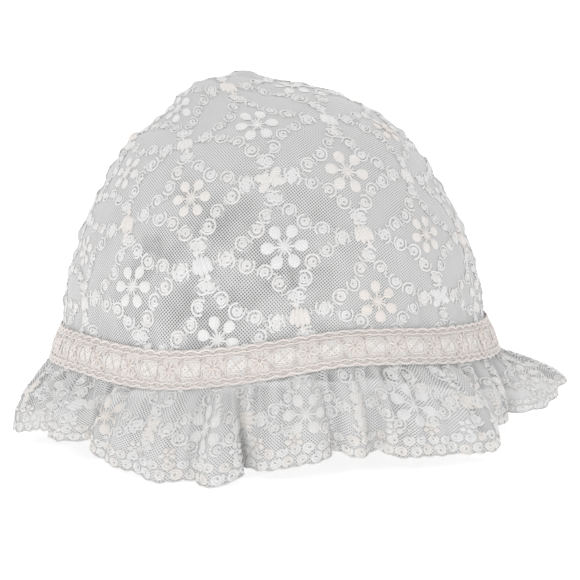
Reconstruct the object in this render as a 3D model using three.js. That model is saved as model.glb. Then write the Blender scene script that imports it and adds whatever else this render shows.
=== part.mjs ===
// A baby's sun hat of embroidered net: a domed crown of two half panels with a seam over the top,
// a lace insertion round the lower edge, and a gathered ruffle that the hat stands on.
// Millimetres, +Z up. The hat stands on Z = 0 and the wearer looks along -Y.
// Azimuth 0 is the front (-Y) and grows towards +X, the wearer's left, about the crown's own axis.
import * as THREE from 'three';

// Driving sizes
const CROWN_WIDTH = 153; // outside of the crown at its lower edge, ear to ear
const CROWN_DEPTH = 145; // the same, front to back
const CROWN_RISE = 92; // from the rim line, where crown and ruffle meet, to the top
const RUFFLE_DROP = 36; // from the rim line, at its mean height, to the ground
const RIM_WAVE = 4; // how far the soft rim line rises and falls
const PEAK_LEAN = 8; // how far the soft top leans to the wearer's right
const DENT_DEPTH = 2; // the deepest of the soft dents in the crown
const CROWN_WALL = 1; // embroidered net
const RUFFLE_WALL = 1; // the same net, in the ruffle
const RUFFLE_FLARE = 20; // how far the folds of the hem stand out from the rim, about
const GATHER_PITCH = 7.8; // between the small gathers under the insertion
const GATHER_DEPTH = 1.8;
const TRIM_WIDTH = 12; // the lace insertion
const TRIM_WALL = 1.2;
const TRIM_REPEAT = 15; // from one open square of the insertion to the next
const TRIM_WAVE = 0.5; // the insertion's edges swing this far
const WINDOW_WIDTH = 5.5; // an open square of the insertion
const WINDOW_HEIGHT = 4.6;
const TAPE_WIDTH = 7; // the seam allowance inside the crown
const TAPE_WALL = 1;
const TAPE_TOP_DROP = 0.7; // the strip hangs this much clear of the round top
const SEAM_GAP = 0.3; // between pieces that are sewn together

// How fine the faceted walls are
const PANEL_COLUMNS = 30;
const PANEL_ROWS = 12;
const ROW_EASE = 1.2;
const STEPS_PER_GATHER = 4;
const RUFFLE_ROWS = [0, 0.2, 0.4, 0.62]; // from the hem up to the insertion

// Shape of the crown from the rim to the top: half width as a share of the lower edge's, rise as a
// share of CROWN_RISE. The rows lie about evenly along the slope.
const CROWN_PROFILE = [
  { width: 1.0, rise: 0.0 },
  { width: 0.96, rise: 0.075 },
  { width: 0.944, rise: 0.19 },
  { width: 0.907, rise: 0.31 },
  { width: 0.861, rise: 0.42 },
  { width: 0.791, rise: 0.53 },
  { width: 0.719, rise: 0.635 },
  { width: 0.612, rise: 0.745 },
  { width: 0.48, rise: 0.83 },
  { width: 0.336, rise: 0.905 },
  { width: 0.174, rise: 0.965 },
  { width: 0.0, rise: 1.0 },
];

// The rim line round the head: lift as a share of RIM_WAVE.
const RIM_LINE = [
  { azimuth: -90, lift: -0.3 },
  { azimuth: -60, lift: -0.1 },
  { azimuth: -30, lift: -0.75 },
  { azimuth: -10, lift: -0.15 },
  { azimuth: 15, lift: 1.0 },
  { azimuth: 30, lift: 0.8 },
  { azimuth: 50, lift: 0.1 },
  { azimuth: 90, lift: -0.6 },
  { azimuth: 125, lift: 0.0 },
  { azimuth: 155, lift: 0.5 },
  { azimuth: 190, lift: 0.1 },
  { azimuth: 225, lift: -0.3 },
];

// Soft dents (negative) and swellings of the crown: place along the slope from 0 at the rim to 1 at
// the top, size across as a share of CROWN_WIDTH, depth as a share of DENT_DEPTH.
const DENTS = [
  { azimuth: -84, slope: 0.62, size: 0.1, depth: 0.5 },
  { azimuth: -62, slope: 0.86, size: 0.08, depth: 0.9 },
  { azimuth: -40, slope: 0.72, size: 0.12, depth: -0.7 },
  { azimuth: 12, slope: 0.84, size: 0.11, depth: -1.0 },
  { azimuth: 52, slope: 0.83, size: 0.09, depth: 0.9 },
  { azimuth: 74, slope: 0.5, size: 0.16, depth: -0.6 },
  { azimuth: -20, slope: 0.3, size: 0.2, depth: 0.5 },
  { azimuth: 35, slope: 0.2, size: 0.13, depth: -0.5 },
  { azimuth: 120, slope: 0.6, size: 0.14, depth: -0.8 },
  { azimuth: 150, slope: 0.35, size: 0.2, depth: 0.6 },
  { azimuth: 195, slope: 0.75, size: 0.12, depth: -0.9 },
  { azimuth: 235, slope: 0.45, size: 0.16, depth: -0.6 },
];

// The hem's folds, one row each: the crest's azimuth, its reach as a share of RUFFLE_FLARE and its
// height over the ground as a share of RUFFLE_DROP, how far the cloth rolls over on either side of
// the crest in degrees, then the reach and height of the hollow that follows it.
const FOLDS = [
  { azimuth: -82, reach: 0.8, height: 0.12, left: 0, right: 1, hollow: 0.45, lift: 0.22 },
  { azimuth: -53, reach: 0.72, height: 0.22, left: 0, right: 3, hollow: 0.2, lift: 0.29 },
  { azimuth: -38, reach: 0.82, height: 0.13, left: -3, right: 0, hollow: 0.9, lift: 0.07 },
  { azimuth: -23, reach: 1.02, height: 0.0, left: 0, right: 0, hollow: 0.78, lift: 0.01 },
  { azimuth: -13, reach: 1.22, height: 0.0, left: 0, right: 3.2, hollow: 0.42, lift: 0.1 },
  { azimuth: -3, reach: 0.76, height: 0.09, left: 0, right: 0, hollow: 0.8, lift: 0.12 },
  { azimuth: 7, reach: 0.88, height: 0.16, left: 0, right: 1.5, hollow: 0.46, lift: 0.23 },
  { azimuth: 16.5, reach: 0.78, height: 0.17, left: 0, right: 0, hollow: 0.56, lift: 0.2 },
  { azimuth: 27, reach: 0.88, height: 0.13, left: -1, right: 0, hollow: 0.92, lift: 0.12 },
  { azimuth: 44.5, reach: 1.17, height: 0.1, left: 0, right: 3, hollow: 0.27, lift: 0.22 },
  { azimuth: 64, reach: 0.5, height: 0.19, left: 0, right: 0, hollow: 0.35, lift: 0.24 },
  { azimuth: 76, reach: 1.0, height: 0.27, left: -2, right: 0, hollow: 1.1, lift: 0.33 },
  { azimuth: 91, reach: 1.32, height: 0.4, left: 0, right: 2, hollow: 0.45, lift: 0.33 },
  { azimuth: 113, reach: 1.0, height: 0.14, left: 0, right: 2, hollow: 0.45, lift: 0.14 },
  { azimuth: 130, reach: 1.1, height: 0.0, left: -1, right: 0, hollow: 0.5, lift: 0.11 },
  { azimuth: 147, reach: 0.9, height: 0.06, left: 0, right: 2, hollow: 0.4, lift: 0.14 },
  { azimuth: 165, reach: 1.15, height: 0.0, left: -2, right: 0, hollow: 0.45, lift: 0.11 },
  { azimuth: 182, reach: 0.9, height: 0.04, left: 0, right: 1, hollow: 0.4, lift: 0.14 },
  { azimuth: 200, reach: 1.05, height: 0.0, left: 0, right: 3, hollow: 0.45, lift: 0.11 },
  { azimuth: 217, reach: 0.95, height: 0.06, left: 0, right: 0, hollow: 0.4, lift: 0.14 },
  { azimuth: 234, reach: 1.15, height: 0.0, left: -2, right: 0, hollow: 0.45, lift: 0.11 },
  { azimuth: 254, reach: 0.9, height: 0.1, left: 0, right: 1, hollow: 0.6, lift: 0.17 },
];

const SPRING = 1.5; // the folds spring out under the insertion and then fall; 1 would be straight
const RIM_FLARE = 0.3; // the cloth just under the rim slopes out this much for each mm down
const LEAN_FROM = 0.8; // the soft top begins this share of the way up
const DENT_FADE = 0.12; // the share of the slope over which dents start above the insertion
const GATHER_FADE = 0.6; // the share of its depth that a small gather loses by the hem
const PRESSED = 0.4; // hem lower than this is pressed flat on the ground
const TURN = 360;

const radians = (degrees) => (degrees * Math.PI) / 180;
const smooth = (k) => k * k * (3 - 2 * k);
const clamp01 = (k) => Math.min(1, Math.max(0, k));

// A smooth closed curve through rows of {azimuth, ...}.
function around(rows, column, azimuth) {
  const n = rows.length;
  const first = rows[0].azimuth;
  const at = ((((azimuth - first) % TURN) + TURN) % TURN) + first;
  const row = (i) => {
    const turns = Math.floor(i / n);
    const r = rows[i - turns * n];
    return { x: r.azimuth + TURN * turns, y: r[column] };
  };
  let i = 0;
  while (i < n - 1 && rows[i + 1].azimuth <= at) i += 1;
  const [p, a, b, q] = [row(i - 1), row(i), row(i + 1), row(i + 2)];
  const k = (at - a.x) / (b.x - a.x);
  const slopeA = ((b.y - p.y) / (b.x - p.x)) * (b.x - a.x);
  const slopeB = ((q.y - a.y) / (q.x - a.x)) * (b.x - a.x);
  const k2 = k * k;
  const k3 = k2 * k;
  return (
    (2 * k3 - 3 * k2 + 1) * a.y +
    (k3 - 2 * k2 + k) * slopeA +
    (3 * k2 - 2 * k3) * b.y +
    (k3 - k2) * slopeB
  );
}

// The crown's profile as {width, rise} at a share of the way up its slope.
function profile(slope) {
  const last = CROWN_PROFILE.length - 1;
  const row = (i) => {
    if (i < 0) {
      const [a, b] = CROWN_PROFILE;
      return { width: 2 * a.width - b.width, rise: 2 * a.rise - b.rise };
    }
    if (i > last) {
      const mirrored = CROWN_PROFILE[2 * last - i];
      return { width: -mirrored.width, rise: mirrored.rise };
    }
    return CROWN_PROFILE[i];
  };
  const x = clamp01(slope) * last;
  const i = Math.min(last - 1, Math.floor(x));
  const k = x - i;
  const [p, a, b, q] = [row(i - 1), row(i), row(i + 1), row(i + 2)];
  const blend = (name) =>
    a[name] +
    0.5 *
      k *
      (b[name] -
        p[name] +
        k *
          (2 * p[name] -
            5 * a[name] +
            4 * b[name] -
            q[name] +
            k * (3 * (a[name] - b[name]) + q[name] - p[name])));
  return { width: blend('width'), rise: blend('rise') };
}

const rimLift = (azimuth) => RIM_WAVE * around(RIM_LINE, 'lift', azimuth);
const rimHeight = (azimuth) => RUFFLE_DROP + rimLift(azimuth);

// A point of the hat at an azimuth, so far outside the rim's oval and so high.
function place(azimuth, halfWidth, halfDepth, height, shift = 0) {
  const a = radians(azimuth);
  return new THREE.Vector3(
    shift + halfWidth * Math.sin(a),
    -halfDepth * Math.cos(a),
    height,
  );
}

function plainCrown(azimuth, slope) {
  const { width, rise } = profile(slope);
  const lean = -PEAK_LEAN * smooth(clamp01((rise - LEAN_FROM) / (1 - LEAN_FROM)));
  const lift = rimLift(azimuth) * (1 - rise) ** 3;
  return place(
    azimuth,
    (width * CROWN_WIDTH) / 2,
    (width * CROWN_DEPTH) / 2,
    RUFFLE_DROP + CROWN_RISE * rise + lift,
    lean,
  );
}

// How far up the crown's slope one mm goes near the rim, and where the insertion ends.
const rimRow = CROWN_PROFILE[1];
const rimRowLength = Math.hypot(
  ((1 - rimRow.width) * CROWN_WIDTH) / 2,
  rimRow.rise * CROWN_RISE,
);
const slopePerMm = 1 / (CROWN_PROFILE.length - 1) / rimRowLength;
const trimTop = (TRIM_WIDTH / 2 + TRIM_WAVE) * slopePerMm;

// The outward direction of a surface(azimuth, along) whose second value grows upwards.
function normalOf(surface, azimuth, along, step = 0.004) {
  const da = surface(azimuth + 0.5, along).sub(surface(azimuth - 0.5, along));
  const up = surface(azimuth, along + step).sub(surface(azimuth, along - step));
  return da.cross(up).normalize();
}

const TOP_LIMIT = 0.985; // past this the slope's own normal is too short to use

function crownNormal(azimuth, slope) {
  return normalOf(plainCrown, azimuth, Math.min(slope, TOP_LIMIT));
}

// The crown's outside, with its dents.
const dentPlaces = DENTS.map((dent) => ({
  centre: plainCrown(dent.azimuth, dent.slope),
  size: dent.size * CROWN_WIDTH,
  depth: dent.depth * DENT_DEPTH,
}));

function crown(azimuth, slope) {
  const p = plainCrown(azimuth, slope);
  let out = 0;
  for (const dent of dentPlaces) {
    const d = p.distanceTo(dent.centre) / dent.size;
    out += dent.depth * Math.exp(-2 * d * d);
  }
  const fade = smooth(clamp01((slope - trimTop) / DENT_FADE)); // no dent under the insertion
  const axis = slope > TOP_LIMIT ? new THREE.Vector3(0, 0, 1) : crownNormal(azimuth, slope);
  return p.addScaledVector(axis, out * fade);
}

// The folds as crests and hollows in turn, each at its own place along the hem.
const hemStations = [];
FOLDS.forEach((fold, i) => {
  const next = FOLDS[(i + 1) % FOLDS.length];
  const nextAzimuth = next.azimuth + (i + 1 < FOLDS.length ? 0 : TURN);
  hemStations.push({
    azimuth: fold.azimuth,
    reach: fold.reach * RUFFLE_FLARE,
    height: fold.height * RUFFLE_DROP,
    roll: fold.right,
  });
  hemStations.push({
    azimuth: (fold.azimuth + nextAzimuth) / 2,
    reach: fold.hollow * RUFFLE_FLARE,
    height: fold.lift * RUFFLE_DROP,
    roll: next.left,
  });
});

// The hem under an azimuth of the rim: its own azimuth, reach and height.
function hem(azimuth) {
  const n = hemStations.length;
  const first = hemStations[0].azimuth;
  const at = ((((azimuth - first) % TURN) + TURN) % TURN) + first;
  let i = 0;
  while (i < n - 1 && hemStations[i + 1].azimuth <= at) i += 1;
  const a = hemStations[i];
  const b = hemStations[(i + 1) % n];
  const end = b.azimuth + (i + 1 < n ? 0 : TURN);
  const k = (at - a.azimuth) / (end - a.azimuth);
  return {
    azimuth: azimuth + a.roll * Math.sin(Math.PI * k) ** 2,
    reach: a.reach + (b.reach - a.reach) * smooth(k),
    height: a.height + (b.height - a.height) * smooth(k),
  };
}

const hidden = TRIM_WIDTH / 2 + TRIM_WAVE; // how far down the insertion hides the ruffle
const hiddenShare = hidden / RUFFLE_DROP;
const rimLength = (Math.PI * (CROWN_WIDTH + CROWN_DEPTH)) / 2;
const gathers = Math.round(rimLength / GATHER_PITCH);

// The ruffle's outside. along is 1 at the rim and 0 at the hem. Under the insertion it is plain, and
// the folds open out below.
function ruffle(azimuth, along) {
  const down = 1 - along;
  const free = clamp01((down - hiddenShare) / (1 - hiddenShare));
  const fall = 1 - (1 - free) ** SPRING;
  const at = hem(azimuth);
  const full = rimHeight(azimuth) - at.height;
  const drop = Math.min(down, hiddenShare) * RUFFLE_DROP + free * (full - hidden);
  const plain = RIM_FLARE * drop;
  const gather = (1 - Math.cos(radians(azimuth) * gathers)) / 2;
  const out = plain + (at.reach - plain) * fall - GATHER_DEPTH * gather * (1 - GATHER_FADE * down);
  return place(
    azimuth + (at.azimuth - azimuth) * fall,
    CROWN_WIDTH / 2 + out,
    CROWN_DEPTH / 2 + out,
    rimHeight(azimuth) - drop,
  );
}

// The cloth that the insertion lies on: so many mm up the crown, or down the ruffle where negative.
function underTrim(azimuth, up) {
  if (up >= 0) return plainCrown(azimuth, up * slopePerMm);
  const drop = -up / Math.hypot(1, RIM_FLARE);
  const out = RIM_FLARE * drop;
  const halfWidth = CROWN_WIDTH / 2 + out;
  const halfDepth = CROWN_DEPTH / 2 + out;
  return place(azimuth, halfWidth, halfDepth, rimHeight(azimuth) - drop);
}

// A closed wall between two grids of points. Grid rows run upwards and columns run round. Cells
// that keep() refuses are cut through, and the rims are closed.
function wall(outside, inside, { closed = false, keep = () => true } = {}) {
  const columns = outside.length;
  const rows = outside[0].length;
  const cells = closed ? columns : columns - 1;
  const points = [...outside.flat(), ...inside.flat()];
  const outer = (i, j) => (i % columns) * rows + j;
  const inner = (i, j) => columns * rows + outer(i, j);
  const kept = (i, j) => {
    if (j < 0 || j >= rows - 1) return false;
    if (!closed && (i < 0 || i >= cells)) return false;
    return keep((i + cells) % cells, j);
  };
  const index = [];
  const triangle = (a, b, c) => {
    const [p, q, r] = [points[a], points[b], points[c]];
    if (p.equals(q) || q.equals(r) || r.equals(p)) return;
    index.push(a, b, c);
  };
  const quad = (a, b, c, d) => {
    triangle(a, b, c);
    triangle(a, c, d);
  };
  for (let i = 0; i < cells; i += 1) {
    for (let j = 0; j < rows - 1; j += 1) {
      if (!kept(i, j)) continue;
      const corners = [
        [i, j],
        [i + 1, j],
        [i + 1, j + 1],
        [i, j + 1],
      ];
      quad(...corners.map((c) => outer(...c)));
      quad(...corners.map((c) => inner(...c)).reverse());
      const neighbours = [kept(i, j - 1), kept(i + 1, j), kept(i, j + 1), kept(i - 1, j)];
      neighbours.forEach((there, side) => {
        if (there) return;
        const [a, b] = [corners[side], corners[(side + 1) % 4]];
        quad(outer(...b), outer(...a), inner(...a), inner(...b));
      });
    }
  }
  const geometry = new THREE.BufferGeometry();
  const flat = points.flatMap((p) => [p.x, p.y, p.z]);
  geometry.setAttribute('position', new THREE.Float32BufferAttribute(flat, 3));
  geometry.setIndex(index);
  geometry.computeVertexNormals();
  return geometry;
}

const steps = (count, from, to) =>
  Array.from({ length: count + 1 }, (_, i) => from + ((to - from) * i) / count);
const halfGap = SEAM_GAP / 2;

// The panels' rows: two under the insertion, where they match its own, and then up the slope,
// closer together towards the round top.
const ROWS_UNDER_TRIM = 2;
const panelSlopes = [
  halfGap * slopePerMm,
  (WINDOW_HEIGHT / 2) * slopePerMm,
  ...steps(PANEL_ROWS, 1, 0).map((left) => 1 - (1 - trimTop) * left ** ROW_EASE),
];

// Half of the crown, from one ear round to the other. side is -1 in front and 1 behind.
function crownPanel(side) {
  const from = side < 0 ? -90 : 90;
  const shell = (depth) =>
    steps(PANEL_COLUMNS, from, from + 180).map((azimuth) =>
      panelSlopes.map((slope) => {
        const p = crown(azimuth, slope);
        const normal =
          slope > TOP_LIMIT ? new THREE.Vector3(0, 0, 1) : crownNormal(azimuth, slope);
        if (slope === panelSlopes[0]) normal.setZ(0).normalize(); // the lower edge stays level
        p.addScaledVector(normal, -depth);
        p.y = side * Math.max(side * p.y, halfGap);
        return p;
      }),
    );
  return wall(shell(0), shell(CROWN_WALL));
}

// The seam allowance: a narrow strip inside the crown, up one side, over the top and down. It has
// the panels' own rows, so that it stays clear of their facets.
function seamTape() {
  const up = panelSlopes.slice(ROWS_UNDER_TRIM);
  const path = [
    ...up.map((slope) => ({ azimuth: -90, slope })),
    ...up
      .slice(0, -1)
      .reverse()
      .map((slope) => ({ azimuth: 90, slope })),
  ];
  const line = (depth) =>
    path.map(({ azimuth, slope }) => {
      const top = slope > TOP_LIMIT;
      const normal = top ? new THREE.Vector3(0, 0, 1) : crownNormal(azimuth, slope);
      const sink = TAPE_TOP_DROP * smooth(clamp01((slope - LEAN_FROM) / (1 - LEAN_FROM)));
      return crown(azimuth, slope).addScaledVector(normal, -depth - sink);
    });
  const gap = CROWN_WALL + SEAM_GAP * 1.5; // room for the crown's curve down to each side
  const strip = (depth) =>
    line(depth).map((p) =>
      [-1, 1].map((side) => new THREE.Vector3(p.x, (side * TAPE_WIDTH) / 2, p.z)),
    );
  return wall(strip(gap), strip(gap + TAPE_WALL));
}

// The lace insertion: a ring over the join, with wavy edges and a row of open squares.
function trim() {
  const repeats = Math.round(rimLength / TRIM_REPEAT);
  const windowShare = WINDOW_WIDTH / (rimLength / repeats);
  const stops = [0, windowShare, windowShare + (1 - windowShare) / 3];
  stops.push((stops[2] + 1) / 2);
  const columns = [];
  for (let i = 0; i < repeats; i += 1) {
    for (const stop of stops) columns.push(((i + stop) * TURN) / repeats);
  }
  const shell = (depth) =>
    columns.map((azimuth, i) => {
      const swing = (i % 2 ? 1 : -1) * TRIM_WAVE * 0.5;
      const edge = TRIM_WIDTH / 2 + swing;
      const rows = [-edge, -WINDOW_HEIGHT / 2, WINDOW_HEIGHT / 2, edge];
      return rows.map((up) => {
        const p = underTrim(azimuth, up);
        return p.addScaledVector(normalOf(underTrim, azimuth, up, 1), depth);
      });
    });
  const keep = (i, j) => !(j === 1 && i % stops.length === 0);
  return wall(shell(SEAM_GAP + TRIM_WALL), shell(SEAM_GAP), { closed: true, keep });
}

const NORMAL_STEP = 0.01;
const LEVEL_SHARE = 0.5; // the ruffle's wall is measured half way between level and square to it

// The gathered ruffle, pressed flat where it touches the ground.
function ruffleWall() {
  const top = 1 - halfGap / RUFFLE_DROP;
  const levels = [...RUFFLE_ROWS, 1 - hiddenShare, top];
  const count = gathers * STEPS_PER_GATHER;
  const azimuths = steps(count, 0, TURN).slice(0, -1);
  const shell = (depth) =>
    azimuths.map((azimuth) =>
      levels.map((along) => {
        const p = ruffle(azimuth, along);
        const a = radians(azimuth);
        const out = new THREE.Vector3(Math.sin(a), -Math.cos(a), 0);
        const normal = normalOf(ruffle, azimuth, Math.min(along, 1 - NORMAL_STEP), NORMAL_STEP);
        normal.lerp(out, along === top ? 1 : LEVEL_SHARE).normalize();
        p.addScaledVector(normal, -depth);
        if (p.z < PRESSED) p.z = 0;
        return p;
      }),
    );
  return wall(shell(0), shell(RUFFLE_WALL), { closed: true });
}

const cloth = (color) => new THREE.MeshStandardMaterial({ color, roughness: 0.9, metalness: 0 });

function piece(name, geometry, material) {
  const mesh = new THREE.Mesh(geometry, material);
  mesh.name = name;
  return mesh;
}

const net = cloth(0xe4e3e1);
const hat = new THREE.Group();
hat.name = 'baby_sun_hat';
hat.add(
  piece('crown_front', crownPanel(-1), net),
  piece('crown_back', crownPanel(1), net),
  piece('crown_seam', seamTape(), cloth(0xece9e5)),
  piece('trim_band', trim(), cloth(0xf0e8e1)),
  piece('ruffle_brim', ruffleWall(), net),
);

// The origin is on the ground, under the middle of the whole outline.
const outline = new THREE.Box3().setFromObject(hat, true);
const middle = outline.getCenter(new THREE.Vector3());
hat.position.set(-middle.x, -middle.y, -outline.min.z);

export default hat;
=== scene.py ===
"""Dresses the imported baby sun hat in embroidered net, a lace insertion and a gathered ruffle.

It also makes the floor, the light and the camera. Lengths are in millimetres up to the place
where a mesh is made, and in metres in Blender. Azimuth 0 is the front of the hat (-Y), and it
grows towards +X about the crown's own axis.
"""

import math

import bmesh
import bpy
import numpy as np
from mathutils import Matrix, Vector


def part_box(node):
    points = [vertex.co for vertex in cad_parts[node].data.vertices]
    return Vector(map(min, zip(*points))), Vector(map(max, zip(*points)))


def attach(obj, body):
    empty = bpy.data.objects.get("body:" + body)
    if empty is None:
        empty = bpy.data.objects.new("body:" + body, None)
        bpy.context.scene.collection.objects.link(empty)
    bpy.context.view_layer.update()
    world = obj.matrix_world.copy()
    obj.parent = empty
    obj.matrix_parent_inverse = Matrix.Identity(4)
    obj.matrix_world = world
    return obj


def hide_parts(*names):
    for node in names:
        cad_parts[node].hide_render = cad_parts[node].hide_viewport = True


bl_info = {
    "name": "Embroidered sun hat",
    "version": (1, 0, 0),
    "blender": (4, 5, 0),
    "location": "3D View > Sidebar > Sun Hat",
    "description": "Net, embroidery, lace insertion and ruffle for the sun hat's solids",
    "category": "Add Mesh",
}

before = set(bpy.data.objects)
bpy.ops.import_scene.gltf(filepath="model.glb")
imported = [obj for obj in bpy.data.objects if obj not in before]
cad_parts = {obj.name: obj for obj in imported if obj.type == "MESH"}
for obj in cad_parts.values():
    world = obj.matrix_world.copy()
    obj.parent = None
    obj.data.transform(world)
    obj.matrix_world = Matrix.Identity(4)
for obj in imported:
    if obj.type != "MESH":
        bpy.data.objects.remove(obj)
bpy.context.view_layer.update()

MM = 0.001
TURN = 360.0

# The solids' sizes, which the cloth follows
CROWN_WIDTH = 153.0
CROWN_DEPTH = 145.0
CROWN_RISE = 92.0
RUFFLE_DROP = 36.0
RIM_WAVE = 4.0
RIM_WAVE_FADE = 3  # how fast the rim's wave fades out up the crown, as a power
PEAK_LEAN = 8.0
LEAN_FROM = 0.8
DENT_DEPTH = 2.0
DENT_FADE = 0.12
DENT_SHARPNESS = 2.0
RUFFLE_FLARE = 20.0
RIM_FLARE = 0.3
SPRING = 1.5
GATHER_PITCH = 7.8
TRIM_WIDTH = 12.0
TRIM_REPEAT = 15.0
TRIM_WAVE = 0.5
WINDOW_WIDTH = 5.5
TAPE_WIDTH = 7.0

# The crown from the rim to the top: half width and rise, as shares
CROWN_PROFILE = np.array([
    (1.0, 0.0), (0.96, 0.075), (0.944, 0.19), (0.907, 0.31), (0.861, 0.42), (0.791, 0.53),
    (0.719, 0.635), (0.612, 0.745), (0.48, 0.83), (0.336, 0.905), (0.174, 0.965), (0.0, 1.0),
])

# The rim line: azimuth, lift as a share of RIM_WAVE
RIM_LINE = np.array([
    (-90, -0.3), (-60, -0.1), (-30, -0.75), (-10, -0.15), (15, 1.0), (30, 0.8), (50, 0.1),
    (90, -0.6), (125, 0.0), (155, 0.5), (190, 0.1), (225, -0.3),
])

# Soft dents and swellings: azimuth, slope, size as a share of the width, depth as a share
DENTS = [
    (-84, 0.62, 0.1, 0.5), (-62, 0.86, 0.08, 0.9), (-40, 0.72, 0.12, -0.7), (12, 0.84, 0.11, -1.0),
    (52, 0.83, 0.09, 0.9), (74, 0.5, 0.16, -0.6), (-20, 0.3, 0.2, 0.5), (35, 0.2, 0.13, -0.5),
    (120, 0.6, 0.14, -0.8), (150, 0.35, 0.2, 0.6), (195, 0.75, 0.12, -0.9), (235, 0.45, 0.16, -0.6),
]

# The same on both sides of the cloth's peak, which the solids leave round
PEAK_DENTS = [(90, 0.93, 0.095, -1.4), (-90, 0.94, 0.055, -1.2)]

# The hem's folds: azimuth, reach, height, roll to the left and right, then the hollow's reach, lift
FOLDS = [
    (-82, 0.8, 0.12, 0, 1, 0.45, 0.22), (-53, 0.72, 0.22, 0, 3, 0.2, 0.29),
    (-38, 0.82, 0.13, -3, 0, 0.9, 0.07), (-23, 1.02, 0.0, 0, 0, 0.78, 0.01),
    (-13, 1.22, 0.0, 0, 3.2, 0.42, 0.1), (-3, 0.76, 0.09, 0, 0, 0.8, 0.12),
    (7, 0.88, 0.16, 0, 1.5, 0.46, 0.23), (16.5, 0.78, 0.17, 0, 0, 0.56, 0.2),
    (27, 0.88, 0.13, -1, 0, 0.92, 0.12), (44.5, 1.17, 0.1, 0, 3, 0.27, 0.22),
    (64, 0.5, 0.19, 0, 0, 0.35, 0.24), (76, 1.0, 0.27, -2, 0, 1.1, 0.33),
    (91, 1.32, 0.4, 0, 2, 0.45, 0.33), (113, 1.0, 0.14, 0, 2, 0.45, 0.14),
    (130, 1.1, 0.0, -1, 0, 0.5, 0.11), (147, 0.9, 0.06, 0, 2, 0.4, 0.14),
    (165, 1.15, 0.0, -2, 0, 0.45, 0.11), (182, 0.9, 0.04, 0, 1, 0.4, 0.14),
    (200, 1.05, 0.0, 0, 3, 0.45, 0.11), (217, 0.95, 0.06, 0, 0, 0.4, 0.14),
    (234, 1.15, 0.0, -2, 0, 0.45, 0.11), (254, 0.9, 0.1, 0, 1, 0.6, 0.17),
]

# The crown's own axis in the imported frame, which the seam allowance lies evenly about
seam_low, seam_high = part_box("crown_seam")
AXIS = np.array([(seam_low.x + seam_high.x) / 2, (seam_low.y + seam_high.y) / 2, 0.0]) / MM

# The embroidery's repeat, flat on the cloth of a crown panel: u to the right and v up
NODE_PLACE = np.array([-0.2, 39.5])
STEP_RIGHT = np.array([33.9, -20.1])
STEP_DOWN = np.array([-24.5, -28.8])
CHAIN_SHARES = [0.186 + 0.157 * k for k in range(5)]  # along a quarter turn of a ring of rosettes
CHAIN_STEP = 6.7  # from one rosette of a chain to the next

# The rosettes of a ring about a daisy: whether they turn back, and their angle in the repeat
RING_SPOTS = [
    (k % 2, math.radians(45 + 90 * (quarter + share)))
    for quarter in range(4) for k, share in enumerate(CHAIN_SHARES)
]

PANEL_RADIUS = 78.0  # the panel is flattened as if it lay on a ball of this size
PANEL_TILT = 0.2  # the ball's point that lies square to the cloth, up from level, in radians
PANEL_FOOT = -0.1  # the ball's latitude that the rim stands for, in radians


def linear(colour):
    """An sRGB hex colour as linear red, green, blue and alpha."""
    channels = [(colour >> shift & 255) / 255 for shift in (16, 8, 0)]
    return [c / 12.92 if c <= 0.04045 else ((c + 0.055) / 1.055) ** 2.4 for c in channels] + [1.0]


def smooth(k):
    k = np.clip(k, 0, 1)
    return k * k * (3 - 2 * k)


def around(rows, azimuth):
    """A smooth closed curve through rows of azimuth and value."""
    x = np.concatenate([rows[:, 0] + TURN * turn for turn in (-1, 0, 1, 2)])
    y = np.tile(rows[:, 1], 4)
    at = (azimuth - rows[0, 0]) % TURN + rows[0, 0]
    i = np.searchsorted(x, at, side="right") - 1
    width = x[i + 1] - x[i]
    k = (at - x[i]) / width
    slope_a = (y[i + 1] - y[i - 1]) / (x[i + 1] - x[i - 1]) * width
    slope_b = (y[i + 2] - y[i]) / (x[i + 2] - x[i]) * width
    start = (2 * k**3 - 3 * k**2 + 1) * y[i] + (k**3 - 2 * k**2 + k) * slope_a
    return start + (3 * k**2 - 2 * k**3) * y[i + 1] + (k**3 - k**2) * slope_b


def profile(slope):
    """The crown's half width and rise at a share of the way up its slope."""
    mirrored = CROWN_PROFILE[-3:-1][::-1] * [-1, 1]
    rows = np.vstack([2 * CROWN_PROFILE[:1] - CROWN_PROFILE[1:2], CROWN_PROFILE, mirrored])
    count = len(CROWN_PROFILE) - 1
    x = np.clip(slope, 0, 1) * count
    i = np.minimum(count - 1, np.floor(x)).astype(int)
    k = (x - i)[..., None]
    p, a, b, q = rows[i], rows[i + 1], rows[i + 2], rows[i + 3]
    v = a + 0.5 * k * (b - p + k * (2 * p - 5 * a + 4 * b - q + k * (3 * (a - b) + q - p)))
    return v[..., 0], v[..., 1]


def rim_lift(azimuth):
    return RIM_WAVE * around(RIM_LINE, azimuth)


def place(azimuth, half_width, half_depth, height, shift=0.0):
    a = np.radians(azimuth)
    point = [shift + half_width * np.sin(a), -half_depth * np.cos(a), height + 0.0 * a]
    return np.stack(point, -1) + AXIS


def plain_crown(azimuth, slope):
    width, rise = profile(slope)
    lean = -PEAK_LEAN * smooth((rise - LEAN_FROM) / (1 - LEAN_FROM))
    height = RUFFLE_DROP + CROWN_RISE * rise + rim_lift(azimuth) * (1 - rise) ** RIM_WAVE_FADE
    return place(azimuth, width * CROWN_WIDTH / 2, width * CROWN_DEPTH / 2, height, lean)


def slants(slopes):
    """Millimetres up the crown from the rim, at each slope."""
    width, rise = profile(slopes)
    mean_radius = (CROWN_WIDTH + CROWN_DEPTH) / 4
    steps = np.hypot(np.diff(width) * mean_radius, np.diff(rise) * CROWN_RISE)
    return np.concatenate([[0], np.cumsum(steps)])


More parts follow.
